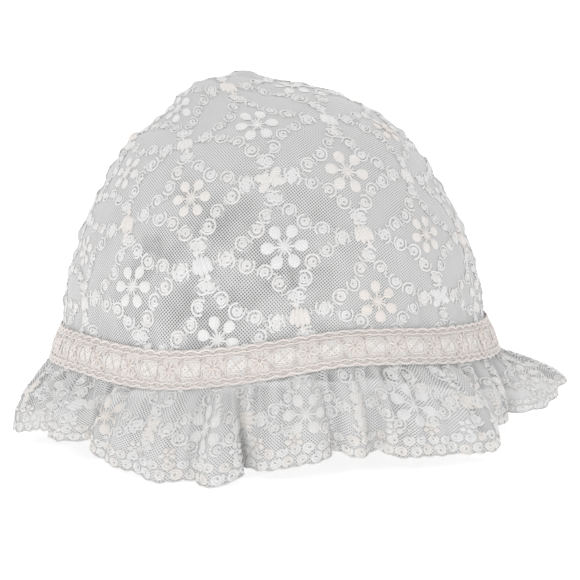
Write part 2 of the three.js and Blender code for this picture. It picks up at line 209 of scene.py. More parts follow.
SLOPES = np.linspace(0, 1, 401)
SLANTS = slants(SLOPES)
RIM_LENGTH = math.pi * (CROWN_WIDTH + CROWN_DEPTH) / 2
GATHERS = round(RIM_LENGTH / GATHER_PITCH)
HIDDEN = TRIM_WIDTH / 2 + TRIM_WAVE
HIDDEN_SHARE = HIDDEN / RUFFLE_DROP
RIM_ROW_LENGTH = math.hypot(
    (1 - CROWN_PROFILE[1, 0]) * CROWN_WIDTH / 2, CROWN_PROFILE[1, 1] * CROWN_RISE
)
SLOPE_PER_MM = 1 / (len(CROWN_PROFILE) - 1) / RIM_ROW_LENGTH
TRIM_TOP = HIDDEN * SLOPE_PER_MM
TOP_LIMIT = 0.985  # the slope above which straight up counts as outwards


def normal_of(surface, azimuth, along, turn=0.5, step=0.004):
    """The outward direction of a surface whose second value grows upwards."""
    sideways = surface(azimuth + turn, along) - surface(azimuth - turn, along)
    up = surface(azimuth, along + step) - surface(azimuth, along - step)
    normal = np.cross(sideways, up)
    return normal / np.maximum(np.linalg.norm(normal, axis=-1, keepdims=True), 1e-9)


def waves(x, rows):
    """A sum of sines: rows of amplitude, turns per unit and phase."""
    return sum(a * np.sin(f * x + p) for a, f, p in rows)


# Puckers where the crown is gathered a little into the insertion: share, waves per turn, phase
PUCKERS = [(0.5, 23, 0.3), (0.4, 37, 1.7), (0.3, 51, 4.0), (0.2, 71, 2.2)]
PUCKER_DEPTH = 0.9
PUCKER_REACH = 14.0
PUCKER_START = 3.0  # mm over the insertion, where the puckers reach their full depth

# Puckers along the seam from side to side over the crown: amplitude in mm, waves per mm, phase
SEAM_PUCKERS = [(0.45, 0.52, 0.4), (0.35, 0.81, 2.2), (0.25, 1.13, 4.4)]
SEAM_PUCKER_REACH = 5.0
SEAM_GROOVE = 0.6
SEAM_GROOVE_WIDTH = 1.1

# Creases of the soft top: azimuth and slope of both ends, width in mm, depth in mm
CREASES = [
    (10, 0.86, 60, 0.8, 3.0, 1.2), (-30, 0.95, 35, 0.93, 3.0, 1.0),
    (-70, 0.84, -35, 0.9, 3.0, 0.8), (60, 0.72, 88, 0.6, 4.0, 0.9),
    (30, 0.9, 70, 0.84, 4.0, 0.9), (-85, 0.35, -60, 0.2, 4.0, 0.8),
    (110, 0.85, 160, 0.8, 3.5, 1.0), (200, 0.9, 250, 0.82, 3.5, 1.0),
    (140, 0.5, 170, 0.3, 5.0, 0.8),
]
CREASE_END = 0.05  # how little a crease runs out to at its ends, before the square root


def crease_depth(p):
    """How far the creases take the cloth in at points p, in mm and below zero."""
    depth = np.zeros(p.shape[:-1])
    for az_a, slope_a, az_b, slope_b, width, deep in CREASES:
        a = plain_crown(np.array(float(az_a)), np.array(slope_a))
        b = plain_crown(np.array(float(az_b)), np.array(slope_b))
        along = b - a
        k = np.clip((p - a) @ along / (along @ along), 0, 1)
        off = np.linalg.norm(p - (a + k[..., None] * along), axis=-1)
        # the straight line between the ends runs inside the dome, so its depth there is taken off
        sink = np.linalg.norm(along) ** 2 / 8 / PANEL_RADIUS * 4 * k * (1 - k)
        off = np.sqrt(np.maximum(off**2 - sink**2, 0))
        depth -= deep * np.exp(-((off / width) ** 2)) * np.sqrt(4 * k * (1 - k) + CREASE_END)
    return depth


DENT_PLACES = [
    (plain_crown(np.array(float(az)), np.array(slope)), size * CROWN_WIDTH, depth * DENT_DEPTH)
    for az, slope, size, depth in DENTS + PEAK_DENTS
]


def crown(azimuth, slope):
    """The crown's outside, with its dents, creases and puckers."""
    p = plain_crown(azimuth, slope)
    out = crease_depth(p)
    for centre, size, depth in DENT_PLACES:
        out = out + depth * np.exp(
            -DENT_SHARPNESS * (np.linalg.norm(p - centre, axis=-1) / size) ** 2)
    up = np.maximum(slope - TRIM_TOP, 0) / SLOPE_PER_MM
    fade = smooth((slope - TRIM_TOP) / DENT_FADE)
    seam = p[..., 1] - AXIS[1]
    ripple = waves(np.interp(slope, SLOPES, SLANTS), SEAM_PUCKERS)
    out = out + ripple * np.exp(-((seam / SEAM_PUCKER_REACH) ** 2))
    out = out - SEAM_GROOVE * np.exp(-((seam / SEAM_GROOVE_WIDTH) ** 2))
    pucker = PUCKER_DEPTH * waves(np.radians(azimuth), PUCKERS) * np.exp(-up / PUCKER_REACH)
    pucker = pucker * smooth(up / PUCKER_START)
    axis = normal_of(plain_crown, azimuth, np.minimum(slope, TOP_LIMIT))
    axis = np.where((slope > TOP_LIMIT)[..., None], [0.0, 0.0, 1.0], axis)
    return p + axis * (out * fade + pucker)[..., None]


def hem_stations():
    """The folds and the hollows between them: azimuth, reach, height and roll."""
    rows = []
    for i, (azimuth, reach, height, _, right, hollow, lift) in enumerate(FOLDS):
        following = FOLDS[(i + 1) % len(FOLDS)]
        next_azimuth = following[0] + (0 if i + 1 < len(FOLDS) else TURN)
        rows.append((azimuth, reach * RUFFLE_FLARE, height * RUFFLE_DROP, right))
        middle = (azimuth + next_azimuth) / 2
        rows.append((middle, hollow * RUFFLE_FLARE, lift * RUFFLE_DROP, following[3]))
    rows.append((rows[0][0] + TURN, *rows[0][1:]))
    return np.array(rows, float)


HEM = hem_stations()


def hem(azimuth):
    """The hem under an azimuth of the rim: its own azimuth, reach and height."""
    at = (azimuth - HEM[0, 0]) % TURN + HEM[0, 0]
    i = np.clip(np.searchsorted(HEM[:, 0], at, side="right") - 1, 0, len(HEM) - 2)
    k = (at - HEM[i, 0]) / (HEM[i + 1, 0] - HEM[i, 0])
    s = smooth(k)
    turned = azimuth + HEM[i, 3] * np.sin(math.pi * k) ** 2
    reach = HEM[i, 1] + (HEM[i + 1, 1] - HEM[i, 1]) * s
    height = HEM[i, 2] + (HEM[i + 1, 2] - HEM[i, 2]) * s
    return turned, reach, height


# Small uneven folds of the ruffle's cloth, as the solids' even gathers can't show them:
# amplitude, waves per turn and phase
GATHER_DRIFT = [(0.9, 3, 0.4), (0.7, 7, 2.0), (0.5, 13, 5.1)]
GATHER_SHARE = [(0.22, 5, 1.0), (0.2, 11, 3.3), (0.16, 17, 0.2)]
GATHER_MEAN = 0.75
GATHER_START, GATHER_RISE = 0.3, 6.0  # the share at the insertion, and how fast it grows below
GATHER_RIDGE = 1.6  # how much narrower the ridges are than the hollows
CLOTH_GATHER_DEPTH = 2.6
CLOTH_GATHER_FADE = 0.75
FLUTES = [(0.5, 31, 0.9), (0.5, 43, 2.6), (0.35, 67, 5.5)]
FLUTE_DEPTH = 1.2
FLUTE_RISE, FLUTE_FADE = 2.0, 0.3
PLEATS = [(0.6, 53, 0.7), (0.5, 83, 3.9), (0.35, 119, 2.1)]
PLEAT_DEPTH = 2.5
PLEAT_REACH = 0.55
PLEAT_RIDGE = 2.4
PLEAT_MEAN, PLEAT_RISE = 0.45, 12.0
HEM_SCALLOP = 0.6
HEM_SCALLOPS = 132
SCALLOP_FROM = 0.9  # how far down the scallops start


def free_share(along):
    """How far down the part of the ruffle that the insertion leaves free."""
    return np.clip((1 - along - HIDDEN_SHARE) / (1 - HIDDEN_SHARE), 0, 1)


def gathers(azimuth, along):
    """How far the cloth lies in between the ruffle's gathers, and out on its narrow pleats."""
    angle = np.radians(azimuth)
    free = free_share(along)
    gather = 1 - ((1 + np.cos(angle * GATHERS + waves(angle, GATHER_DRIFT))) / 2) ** GATHER_RIDGE
    gather = gather * (GATHER_MEAN + waves(angle, GATHER_SHARE))
    gather = gather * smooth(free * GATHER_RISE + GATHER_START)
    pleats = sum(a * ((1 + np.sin(f * angle + p)) / 2) ** PLEAT_RIDGE for a, f, p in PLEATS)
    pleats = (pleats - PLEAT_MEAN) * np.exp(-free / PLEAT_REACH) * smooth(free * PLEAT_RISE)
    return gather * (1 - CLOTH_GATHER_FADE * (1 - along)), pleats


def ruffle(azimuth, along):
    """The ruffle's outside. along is 1 at the rim and 0 at the hem."""
    angle = np.radians(azimuth)
    down = 1 - along
    free = free_share(along)
    fall = 1 - (1 - free) ** SPRING
    turned, reach, height = hem(azimuth)
    rim_height = RUFFLE_DROP + rim_lift(azimuth)
    scallop = HEM_SCALLOP * np.abs(np.sin(angle * HEM_SCALLOPS / 2))
    scallop = scallop * smooth((free - SCALLOP_FROM) / (1 - SCALLOP_FROM))
    full = rim_height - height - HEM_SCALLOP + scallop
    drop = np.minimum(down, HIDDEN_SHARE) * RUFFLE_DROP + free * (full - HIDDEN)
    plain = RIM_FLARE * drop
    flutes = FLUTE_DEPTH * waves(angle, FLUTES) * smooth(free * FLUTE_RISE)
    flutes = flutes * (1 - FLUTE_FADE * free)
    inwards, pleats = gathers(azimuth, along)
    out = plain + (reach - plain) * fall + flutes + PLEAT_DEPTH * pleats
    out = out - CLOTH_GATHER_DEPTH * inwards
    azimuth = azimuth + (turned - azimuth) * fall
    p = place(azimuth, CROWN_WIDTH / 2 + out, CROWN_DEPTH / 2 + out, rim_height - drop)
    p[..., 2] = np.maximum(p[..., 2], 0.0)
    return p


def under_trim(azimuth, up):
    """The cloth that the insertion lies on, so many mm up the crown or down the ruffle."""
    above = plain_crown(azimuth, np.maximum(up, 0) * SLOPE_PER_MM)
    drop = np.maximum(-up, 0) / math.hypot(1, RIM_FLARE)
    out = RIM_FLARE * drop
    rim_height = RUFFLE_DROP + rim_lift(azimuth)
    below = place(azimuth, CROWN_WIDTH / 2 + out, CROWN_DEPTH / 2 + out, rim_height - drop)
    return np.where((up >= 0)[..., None], above, below)


# Flat cloth and worn cloth


def ball_latitude(slant):
    return PANEL_FOOT + (math.pi / 2 - PANEL_FOOT) * slant / SLANTS[-1]


def panel_cloth(azimuth, slope):
    """Where a point of the front panel lies on the flat cloth."""
    latitude = ball_latitude(np.interp(slope, SLOPES, SLANTS))
    a = np.radians(azimuth)
    x, y, z = np.cos(latitude) * np.sin(a), -np.cos(latitude) * np.cos(a), np.sin(latitude)
    n = -y * math.cos(PANEL_TILT) + z * math.sin(PANEL_TILT)
    v = y * math.sin(PANEL_TILT) + z * math.cos(PANEL_TILT)
    far = np.arccos(np.clip(n, -1, 1))
    length = np.maximum(np.hypot(x, v), 1e-9)
    return PANEL_RADIUS * far * x / length, PANEL_RADIUS * far * v / length


# Where a stitch may lie on a crown panel: up to this azimuth, this many mm over the rim, and this
# many radians from the middle of the flattening ball
PANEL_END = 89.2
LOWEST_STITCH = 1.0
FARTHEST_STITCH = 2.6


def drape_crown(side):
    """Lays flat cloth on the front (-1) or back (1) panel: takes u, v and height over the net."""

    def drape(u, v, height):
        length = np.maximum(np.hypot(u, v), 1e-9)
        far = length / PANEL_RADIUS
        x, up, n = np.sin(far) * u / length, np.sin(far) * v / length, np.cos(far)
        y = -n * math.cos(PANEL_TILT) + up * math.sin(PANEL_TILT)
        z = n * math.sin(PANEL_TILT) + up * math.cos(PANEL_TILT)
        latitude = np.arcsin(np.clip(z, -1, 1))
        azimuth = np.degrees(np.arctan2(x, -y))
        slant = (latitude - PANEL_FOOT) / (math.pi / 2 - PANEL_FOOT) * SLANTS[-1]
        there = (np.abs(azimuth) < PANEL_END) & (slant > LOWEST_STITCH) & (far < FARTHEST_STITCH)
        slope = np.interp(slant, SLANTS, SLOPES)
        if side > 0:
            azimuth = 180 - azimuth
        p = crown(azimuth, slope)
        normal = normal_of(crown, azimuth, np.minimum(slope, TOP_LIMIT))
        return p + normal * height[..., None], there

    return drape


MIDDLE = 0.35  # how far up the ruffle its cloth's length is measured
MID_AZIMUTHS = np.linspace(-180, 180, 7201)
MID_POINTS = ruffle(MID_AZIMUTHS, np.full(MID_AZIMUTHS.shape, MIDDLE))
MID_STEPS = np.linalg.norm(np.diff(MID_POINTS, axis=0), axis=1)
MID_LENGTHS = np.concatenate([[0], np.cumsum(MID_STEPS)])
RUFFLE_LENGTH = float(MID_LENGTHS[-1])
RUFFLE_WIDTH = 42.0  # of cloth, from the rim to the hem
HEM_SLACK = 0.01  # of the width, that a stitch may hang over the hem
RUFFLE_UNDER_TRIM = 0.6  # how far up behind the insertion the stitches end, as a share


def drape_ruffle(u, v, height):
    """Lays the flat strip on the ruffle: u along the hem and v up from it."""
    azimuth = np.interp(u % RUFFLE_LENGTH, MID_LENGTHS, MID_AZIMUTHS)
    along = v / RUFFLE_WIDTH
    there = (along > -HEM_SLACK) & (along < 1 - HIDDEN_SHARE * RUFFLE_UNDER_TRIM)
    along = np.clip(along, 0.0, 1.0)
    p = ruffle(azimuth, along)
    normal = normal_of(ruffle, azimuth, np.clip(along, 0.02, 0.98), turn=0.4, step=0.01)
    p = p + normal * height[..., None]
    p[..., 2] = np.maximum(p[..., 2], 0.0)
    return p, there


def drape_trim(u, v, height):
    """Lays the insertion on the join: u round the rim and v up from it."""
    azimuth = u / RIM_LENGTH * TURN
    p = under_trim(azimuth, v)
    normal = normal_of(under_trim, azimuth, v, turn=0.5, step=1.0)
    return p + normal * height[..., None], np.ones(u.shape, bool)


# Meshes


def new_object(name, mesh, material):
    mesh.shade_smooth()
    mesh.materials.append(material)
    piece = bpy.data.objects.new(name, mesh)
    bpy.context.scene.collection.objects.link(piece)
    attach(piece, "root")
    return piece


MERGE = 0.00005  # metres within which two corners of a sheet become one


def sheet_mesh(name, columns, rows, surface, cloth, closeness=None):
    """A grid laid on surface(k across, k up), with the flat cloth's mm in its UV map.

    closeness says how far the net's meshes are drawn together there."""
    bm = bmesh.new()
    bmesh.ops.create_grid(bm, x_segments=columns, y_segments=rows, size=1)
    uv = bm.loops.layers.uv.new("Cloth")
    close = bm.verts.layers.float.new("closeness")
    bm.verts.ensure_lookup_table()
    flat = np.array([v.co for v in bm.verts])
    k = (flat[:, :2] + 1) / 2
    points = surface(k[:, 0], k[:, 1]) * MM
    u, v = cloth(k[:, 0], k[:, 1])
    for face in bm.faces:
        for loop in face.loops:
            i = loop.vert.index
            loop[uv].uv = (u[i], v[i])
    drawn = np.zeros(len(k)) if closeness is None else closeness(k[:, 0], k[:, 1])
    for vert, point, share in zip(bm.verts, points, drawn):
        vert.co = point
        vert[close] = share
    bmesh.ops.remove_doubles(bm, verts=bm.verts, dist=MERGE)
    bmesh.ops.dissolve_degenerate(bm, edges=bm.edges, dist=MERGE / 10)
    mesh = bpy.data.meshes.new(name)
    bm.to_mesh(mesh)
    bm.free()
    return mesh


LIFT = 0.12  # of stitches above the net, as the net's mesh cuts its curves a little short
STITCH = 0.62  # half the mm from one row of stitches to the next, along or across a pad


def ridge(bm, path, width, height, segments, lift=0.0):
    """A thread laid on the cloth along path(k): a low ridge that is width mm wide."""
    made = bmesh.ops.create_grid(bm, x_segments=segments, y_segments=2, size=1)["verts"]
    stitch = bm.verts.layers.float_vector["stitch"]
    flat = np.array([v.co for v in made])
    k = (flat[:, 0] + 1) / 2
    step = 0.5 / segments
    here, ahead, behind = (np.stack(path(np.clip(at, 0, 1)), -1) for at in (k, k + step, k - step))
    run = ahead - behind
    run /= np.maximum(np.linalg.norm(run, axis=1, keepdims=True), 1e-9)
    for vert, point, direction, side in zip(made, here, run, flat[:, 1]):
        offset = side * width / 2
        x = point[0] - direction[1] * offset
        y = point[1] + direction[0] * offset
        vert.co = (x, y, lift + height * (1 - side * side))
        vert[stitch] = ((1 + side) * STITCH, 0, 0)  # so that painted shade darkens it at both edges


def pad(bm, length, width, height, middle=(0.0, 0.0), angle=0.0, taper=0.0, cells=5):
    """A satin-stitched pad: a domed oval, length mm by width mm, that narrows by its taper."""
    made = bmesh.ops.create_grid(bm, x_segments=cells, y_segments=cells, size=1)["verts"]
    stitch = bm.verts.layers.float_vector["stitch"]
    c, s = math.cos(angle), math.sin(angle)
    for vert in made:
        x, y = vert.co.x, vert.co.y
        x, y = x * math.sqrt(1 - y * y / 2), y * math.sqrt(1 - x * x / 2)
        z = height * math.sqrt(max(1 - x * x - y * y, 0.0))
        along = x * length / 2
        across = y * width / 2 * (1 + taper * x)
        vert.co = (middle[0] + along * c - across * s, middle[1] + along * s + across * c, z)
        vert[stitch] = (along, across, 0)


def spoke(angle, start, end):
    """A straight path outwards from a motif's middle."""

    def path(k):
        reach = start + (end - start) * k
        return reach * math.cos(angle), reach * math.sin(angle)

    return path


def arc(radius, start, end, middle=(0.0, 0.0)):
    """A round path between two angles in degrees."""

    def path(k):
        angle = np.radians(start + (end - start) * k)
        return middle[0] + radius * np.cos(angle), middle[1] + radius * np.sin(angle)

    return path


def motif(build, *options):
    """The flat motif that build(bm) makes: its points in mm, its faces and its stitches' places."""
    bm = bmesh.new()
    stitch = bm.verts.layers.float_vector.new("stitch")
    build(bm, *options)
    bmesh.ops.recalc_face_normals(bm, faces=bm.faces)
    bm.verts.ensure_lookup_table()
    points = np.array([v.co for v in bm.verts])
    stitches = np.array([v[stitch][:2] for v in bm.verts])
    faces = [[v.index for v in f.verts] for f in bm.faces]
    ups = sum(f.normal.z for f in bm.faces)
    bm.free()
    if ups < 0:
        faces = [f[::-1] for f in faces]
    return points, np.array(faces), stitches


# Threads: the width and height of their ridges on the cloth
COIL_THREAD = (0.9, 0.28)
RING_THREAD = (0.82, 0.28)
RUNNING_THREAD = (0.55, 0.3)
PETAL_THREAD = (0.85, 0.35)
CENTRE_THREAD = (0.7, 0.3)
HEM_THREAD = (0.7, 0.4)

COIL_TURNS = 1.75
COIL_START = 0.2
COIL_END = 1.75
RING_RADIUS = 2.55
RING_ENDS = (215, -55)  # degrees
NEXT_RING = 0.8  # size of the piece of the next rosette's ring, as a share
NEXT_RING_PLACE = (CHAIN_STEP - 0.4, 0.0)
RUN_START, RUN_LENGTH, RUN_OFF = 2.5, 1.8, 0.3  # of the thread between two rosettes


def build_coil(bm):
    """Nearly two turns of thread."""

    def coil(k):
        angle = 2 * math.pi * COIL_TURNS * k
        radius = COIL_START + (COIL_END - COIL_START) * k
        return radius * np.cos(angle), radius * np.sin(angle)

    ridge(bm, coil, *COIL_THREAD, 18)


def build_rosette(bm, side):
    """A coil in a ring of thread, which runs on to the next rosette of the chain."""
    build_coil(bm)
    start, end = RING_ENDS
    ridge(bm, arc(RING_RADIUS, start * side, end * side), *RING_THREAD, 13)
    next_ring = arc(RING_RADIUS * NEXT_RING, start, TURN - start, NEXT_RING_PLACE)
    ridge(bm, next_ring, *RUNNING_THREAD, 3)

    def run_on(k):
        return RUN_START + RUN_LENGTH * k, RUN_OFF * side + 0.0 * k

    ridge(bm, run_on, *RUNNING_THREAD, 2)


# Satin pads: their length, width and height
PETAL = (4.7, 4.0, 0.3)
PETALS = 6
PETAL_REACH = 5.6
DAISY_MIDDLE = (2.0, 2.0, 0.4)
PETAL_SPOKE, CENTRE_SPOKE = (0.5, 3.7), (0.6, 2.7)  # from and to which radius its stitches run
CENTRE_TURN = 0.5  # radians from a petal to the stitch beside it
LEAF = (5.6, 3.3, 0.3)
LEAF_REACH = 3.3
LEAF_ANGLES = (60, 120, 240, 300)  # degrees
SIDE_LEAF = (2.8, 2.0, 0.3)
SIDE_LEAF_REACH = 2.2
SIDE_LEAF_ANGLES = (0.3, math.pi / 2, math.pi + 0.3, 3 * math.pi / 2)  # radians
STAR_MIDDLE = (3.0, 3.0, 0.35)
LONG_LEAF = (2.2, 0.35)
LONG_LEAVES = ((-1.5, 5.6), (-0.5, 7.6), (0.5, 7.0), (1.5, 6.0))  # steps from the middle, length
LONG_LEAF_STEP, LONG_LEAF_TURN = (0.3, 1.6), 0.1  # in mm and radians, from one to the next
BUNDLE_END = (2.6, 2.0, 0.4)
BUNDLE_END_PLACE, BUNDLE_END_ANGLE = (4.6, 0.9), 0.6
SMALL_PETAL = (2.4, 2.0, 0.4)
SMALL_PETALS = 5
SMALL_PETAL_REACH = 1.9
SMALL_MIDDLE = (1.4, 1.4, 0.4)


def polar(reach, angle):
    return reach * math.cos(angle), reach * math.sin(angle)


def build_daisy(bm):
    """Six padded petals on a star of stitches."""
    for i in range(PETALS):
        angle = 2 * math.pi * i / PETALS
        pad(bm, *PETAL, polar(PETAL_REACH, angle), angle, taper=0.12, cells=6)
        ridge(bm, spoke(angle, *PETAL_SPOKE), *PETAL_THREAD, 3)
        ridge(bm, spoke(angle + CENTRE_TURN, *CENTRE_SPOKE), *CENTRE_THREAD, 2)
    pad(bm, *DAISY_MIDDLE, cells=4)


def build_leaf_star(bm):
    """Where chains meet: four broad satin leaves, with smaller stitches between them."""
    for degrees in LEAF_ANGLES:
        angle = math.radians(degrees)
        pad(bm, *LEAF, polar(LEAF_REACH, angle), angle, taper=0.1)
    for angle in SIDE_LEAF_ANGLES:
        pad(bm, *SIDE_LEAF, polar(SIDE_LEAF_REACH, angle), angle, cells=4)
    pad(bm, *STAR_MIDDLE, cells=4)


def build_leaf_bundle(bm):
    """Where chains meet: four long satin leaves side by side, which overlap."""
    for i, length in LONG_LEAVES:
        middle = [step * i for step in LONG_LEAF_STEP]
        pad(bm, length, *LONG_LEAF, middle, LONG_LEAF_TURN * i, taper=0.2)
    for end in (-1, 1):
        middle = [way * end for way in BUNDLE_END_PLACE]
        pad(bm, *BUNDLE_END, middle, BUNDLE_END_ANGLE, cells=4)


def build_small_flower(bm):
    """Five small petals, for the ruffle's border."""
    for i in range(SMALL_PETALS):
        angle = 2 * math.pi * i / SMALL_PETALS
        pad(bm, *SMALL_PETAL, polar(SMALL_PETAL_REACH, angle), angle, cells=4)
    pad(bm, *SMALL_MIDDLE, cells=3)


def joined(name, parts, drape, material):
    """One mesh of many motifs, draped. parts: a motif, and its rows of u, v, angle, scale and tint.

    A face is left out where a corner of it falls off the cloth."""
    all_points, all_faces, all_flat, all_tints = [], [], [], []
    start = 0
    for (points, faces, stitches), rows in parts:
        rows = np.asarray(rows, float)
        c, s = np.cos(rows[:, 2:3]), np.sin(rows[:, 2:3])
        x, y = points[:, 0] * rows[:, 3:4], points[:, 1] * rows[:, 3:4]
        u = rows[:, 0:1] + x * c - y * s
        v = rows[:, 1:2] + x * s + y * c
        height = np.broadcast_to(points[:, 2] + LIFT, u.shape)
        worn, there = drape(u.ravel(), v.ravel(), height.ravel())
        whole = there.reshape(u.shape)[:, faces].all(axis=2)
        index = faces[None] + (np.arange(len(rows)) * len(points))[:, None, None] + start
        all_faces.append(index[whole])
        all_points.append(worn)
        all_flat.append(np.tile(stitches, (len(rows), 1)))
        all_tints.append(np.repeat(rows[:, 4], len(points)))
        start += len(worn)
    points, flat, tints = (np.concatenate(x) for x in (all_points, all_flat, all_tints))
    faces = np.concatenate(all_faces)
    used, corners = np.unique(faces, return_inverse=True)
    mesh = bpy.data.meshes.new(name)
    mesh.from_pydata(points[used] * MM, [], corners.reshape(faces.shape).tolist())
    uv = mesh.uv_layers.new(name="Stitch")
    uv.data.foreach_set("uv", flat[faces.ravel()].astype(np.float32).ravel())
    tint = mesh.attributes.new("tint", "FLOAT", "POINT")
    tint.data.foreach_set("value", tints[used].astype(np.float32))
    return new_object(name, mesh, material)


# Materials


def add_node(tree, kind, inputs=None, **settings):
    """Adds a node with its settings, and sets or links its inputs by name or number."""
    node = tree.nodes.new(kind)
    for name, value in settings.items():
        setattr(node, name, value)
    for name, value in (inputs or {}).items():
        if isinstance(value, bpy.types.NodeSocket):
            tree.links.new(value, node.inputs[name])
        else:
            node.inputs[name].default_value = value
    return node


def new_material(name):
    material = bpy.data.materials.new(name)
    material.use_nodes = True
    material.node_tree.nodes.clear()
    return material, material.node_tree


COTTON = {"Sheen Weight": 0.2, "Specular IOR Level": 0.2}  # dull, with a faint bloom


def finish_material(tree, shader_inputs):
    shader = add_node(tree, "ShaderNodeBsdfPrincipled", shader_inputs)
    add_node(tree, "ShaderNodeOutputMaterial", {"Surface": shader.outputs[0]})


def ramp(tree, value, ends, results=(0.0, 1.0)):
    """A value mapped from its ends to the results, and held beyond them."""
    inputs = {
        "Value": value, "From Min": ends[0], "From Max": ends[1],
        "To Min": results[0], "To Max": results[1],
    }
    return add_node(tree, "ShaderNodeMapRange", inputs).outputs[0]


def maths(tree, operation, *values, **settings):
    """One step of arithmetic on sockets and numbers."""
    inputs = dict(enumerate(values))
    return add_node(tree, "ShaderNodeMath", inputs, operation=operation, **settings).outputs[0]


def mixed(tree, share, first, second):
    """A colour between two."""
    return add_node(
        tree, "ShaderNodeMix", {0: share, 6: first, 7: second}, data_type="RGBA"
    ).outputs[2]


THREAD_EDGE = 0.06  # of the pitch, over which a thread's edge fades
NET_ANGLE = 52.0
THINNEST, THICKEST = 0.65, 2.0  # how wide threads are drawn in open and in close net, as shares
PATCH_SHARE = 0.38  # of the way from open to close that a patch goes by itself
MESH_CLOSED = 0.7  # how much a mesh of the net hides of what is behind it, with its grey of painted shade
PATCHES = (0.055, 0.055)  # waves per mm, across and up, of places where the net lies closer
STREAKS = (0.16, 0.02)  # the same where it is gathered
PATCH_EDGES = (0.38, 0.64)  # of the noise, between which a patch goes from open to close


def net_alpha(tree, cloth, pitch, thin, thick, places=PATCHES):
    """Where a slanting net's threads cover, and how closely it lies there.

    cloth is in mm, and thin and thick are the threads' widths in open and in close net."""
    turned = add_node(tree, "ShaderNodeMapping", {
        "Vector": cloth, "Rotation": (0, 0, math.radians(NET_ANGLE)),
        "Scale": (1 / pitch, 1 / pitch, 1),
    })
    split = add_node(tree, "ShaderNodeSeparateXYZ", {0: turned.outputs[0]})
    scaled = add_node(tree, "ShaderNodeMapping", {"Vector": cloth, "Scale": (*places, 1)})
    patches = add_node(tree, "ShaderNodeTexNoise", {"Vector": scaled.outputs[0], "Scale": 1.0})
    uneven = ramp(tree, patches.outputs[0], PATCH_EDGES, (0.0, PATCH_SHARE))
    drawn = add_node(tree, "ShaderNodeAttribute", attribute_name="closeness")
    close = maths(tree, "ADD", uneven, drawn.outputs["Fac"], use_clamp=True)
    half = ramp(tree, close, (0.0, 1.0), (thin / pitch / 2, thick / pitch / 2))
    masks = []
    for axis in (0, 1):
        off = maths(tree, "PINGPONG", split.outputs[axis], 0.5)
        over = maths(tree, "SUBTRACT", half, off)
        masks.append(ramp(tree, over, (-THREAD_EDGE, THREAD_EDGE)))
    return maths(tree, "MAXIMUM", *masks), close


def cotton_net(name, pitch, thread, colours, places=PATCHES):
    """Fine cotton tulle: dull white threads in a slanting mesh that is half seen through.

    colours: the threads' and the meshes', each in open and in close net. The real mesh is about
    0.7 mm. It is drawn a little coarser, so that it shows. The grey in its meshes is painted shade:
    the shade of what lies behind the net, seen through them. It also stands for the threads that
    are too thin to draw. In close net the threads are drawn darker, as painted shade."""
    material, tree = new_material(name)
    cloth = add_node(tree, "ShaderNodeUVMap", uv_map="Cloth").outputs[0]
    alpha, close = net_alpha(tree, cloth, pitch, thread * THINNEST, thread * THICKEST, places)
    open_thread, close_thread_shaded, open_mesh_shade, close_mesh_shade = colours
    # Painted shade: darker threads where the net lies close, and grey meshes for the shade seen
    # through them
    thread_colour = mixed(tree, close, open_thread, close_thread_shaded)
    mesh_shade = mixed(tree, close, open_mesh_shade, close_mesh_shade)
    finish_material(tree, {
        "Base Color": mixed(tree, alpha, mesh_shade, thread_colour), "Roughness": 0.85,
        "Alpha": ramp(tree, alpha, (0.0, 1.0), (MESH_CLOSED, 1.0)), **COTTON,
    })
    return material


GROUND_PITCH = 1.1
GROUND_CLOSE = (0.88, 1.06)  # widths of its threads, in open and in close places
GROUND_OPEN = (0.84, 0.94)  # the same in the windows
WINDOW_SOFTNESS = 0.3  # of a window's half size, over which it fades in and out


def crocheted_ground(name, repeat, colour, window_colour):
    """Close crochet in soft cotton, with lighter and more open windows at even steps."""
    material, tree = new_material(name)
    cloth = add_node(tree, "ShaderNodeUVMap", uv_map="Cloth").outputs[0]
    split = add_node(tree, "ShaderNodeSeparateXYZ", {0: cloth})
    turns = maths(tree, "MULTIPLY_ADD", split.outputs[0], 1 / repeat, -WINDOW_WIDTH / 2 / repeat)
    across = maths(tree, "PINGPONG", turns, 0.5)
    high = maths(tree, "ABSOLUTE", split.outputs[1])
    edge_u, edge_v = LACE_WINDOW[0] / 2 / repeat, LACE_WINDOW[1] / 2
    outer, inner = 1 + WINDOW_SOFTNESS, 1 - WINDOW_SOFTNESS
    inside_u = ramp(tree, across, (edge_u * outer, edge_u * inner))
    inside_v = ramp(tree, high, (edge_v * outer, edge_v * inner))
    window = maths(tree, "MULTIPLY", inside_u, inside_v)
    close, _ = net_alpha(tree, cloth, GROUND_PITCH, *GROUND_CLOSE)
    open_net, _ = net_alpha(tree, cloth, GROUND_PITCH, *GROUND_OPEN)
    fewer = add_node(tree, "ShaderNodeMix", {0: window, 2: close, 3: open_net})
    finish_material(tree, {
        "Base Color": mixed(tree, window, colour, window_colour), "Roughness": 0.9,
        "Alpha": fewer.outputs[0], **COTTON,
    })
    return material


GROOVE_SHARE = 0.35  # of the painted shade's colour that a groove between rows of stitches shows
GROOVE_EDGES = (0.45, 0.05)  # of the wave, between which a groove's painted shade deepens
WAVE_SIZE = 0.314  # half the length of a wave texture's diagonal wave at scale 1


